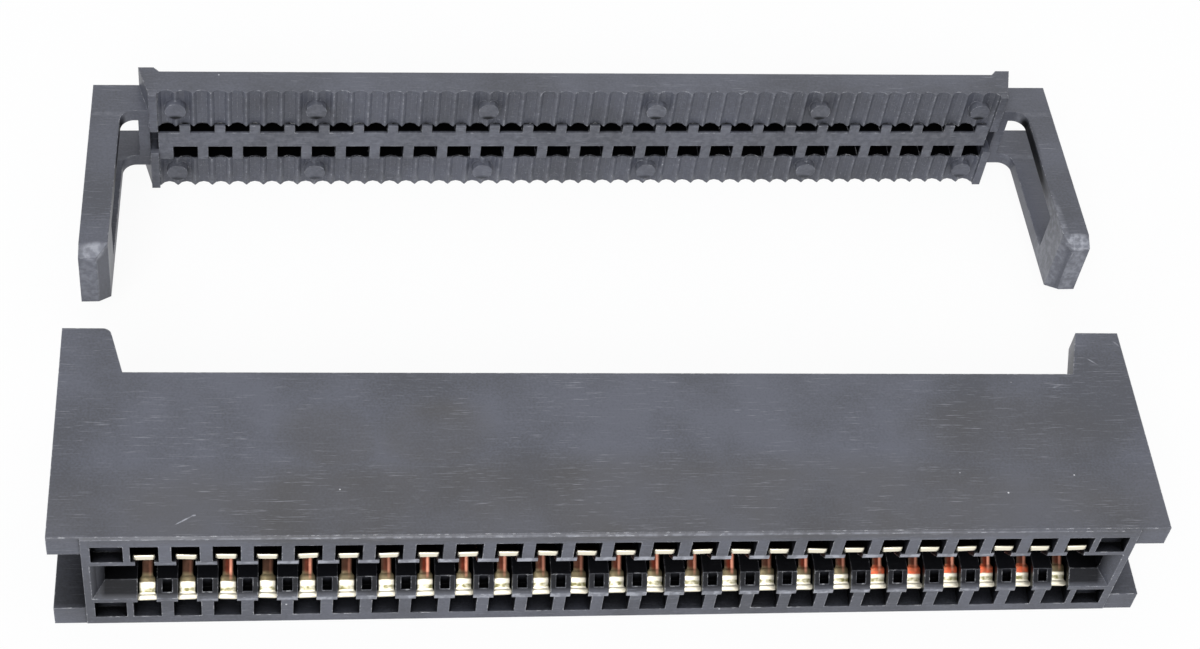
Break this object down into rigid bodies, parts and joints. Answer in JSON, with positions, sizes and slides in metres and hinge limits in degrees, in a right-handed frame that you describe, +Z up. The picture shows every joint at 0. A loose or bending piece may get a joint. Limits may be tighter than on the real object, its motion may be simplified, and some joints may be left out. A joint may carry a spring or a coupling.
{
  "type": "card edge connector",
  "caption": "Card edge connector for flat ribbon cable: slotted body with two rows of sprung contacts, and its cable cover with latch arms lying taken off behind it",
  "frame": {"origin": "middle of the body's underside, halfway between its mating face and its cable side", "axes": "+X along the connector, +Y from the mating face towards the cover, +Z up from the broad face that it lies on"},
  "size_m": [0.0738, 0.0429, 0.0099],
  "materials": {
    "moulded_plastic": "glass-filled black polyester, satin, finely scratched",
    "contact_metal": "copper alloy strip, bright plated at the head and pad, dull along the beam"
  },
  "bodies": {
    "root": {"housing": "moulded_plastic", "cover": "moulded_plastic", "contact_lower_01": "contact_metal", "contact_lower_02": "contact_metal", "contact_lower_03": "contact_metal", "contact_lower_04": "contact_metal", "contact_lower_05": "contact_metal", "contact_lower_06": "contact_metal", "contact_lower_07": "contact_metal", "contact_lower_08": "contact_metal", "contact_lower_09": "contact_metal", "contact_lower_10": "contact_metal", "contact_lower_11": "contact_metal", "contact_lower_12": "contact_metal", "contact_lower_13": "contact_metal", "contact_lower_14": "contact_metal", "contact_lower_15": "contact_metal", "contact_lower_16": "contact_metal", "contact_lower_17": "contact_metal", "contact_lower_18": "contact_metal", "contact_lower_19": "contact_metal", "contact_lower_20": "contact_metal", "contact_lower_21": "contact_metal", "contact_lower_22": "contact_metal", "contact_lower_23": "contact_metal", "contact_lower_24": "contact_metal", "contact_lower_25": "contact_metal", "contact_upper_01": "contact_metal", "contact_upper_02": "contact_metal", "contact_upper_03": "contact_metal", "contact_upper_04": "contact_metal", "contact_upper_05": "contact_metal", "contact_upper_06": "contact_metal", "contact_upper_07": "contact_metal", "contact_upper_08": "contact_metal", "contact_upper_09": "contact_metal", "contact_upper_10": "contact_metal", "contact_upper_11": "contact_metal", "contact_upper_12": "contact_metal", "contact_upper_13": "contact_metal", "contact_upper_14": "contact_metal", "contact_upper_15": "contact_metal", "contact_upper_16": "contact_metal", "contact_upper_17": "contact_metal", "contact_upper_18": "contact_metal", "contact_upper_19": "contact_metal", "contact_upper_20": "contact_metal", "contact_upper_21": "contact_metal", "contact_upper_22": "contact_metal", "contact_upper_23": "contact_metal", "contact_upper_24": "contact_metal", "contact_upper_25": "contact_metal"}
  },
  "joints": []
}
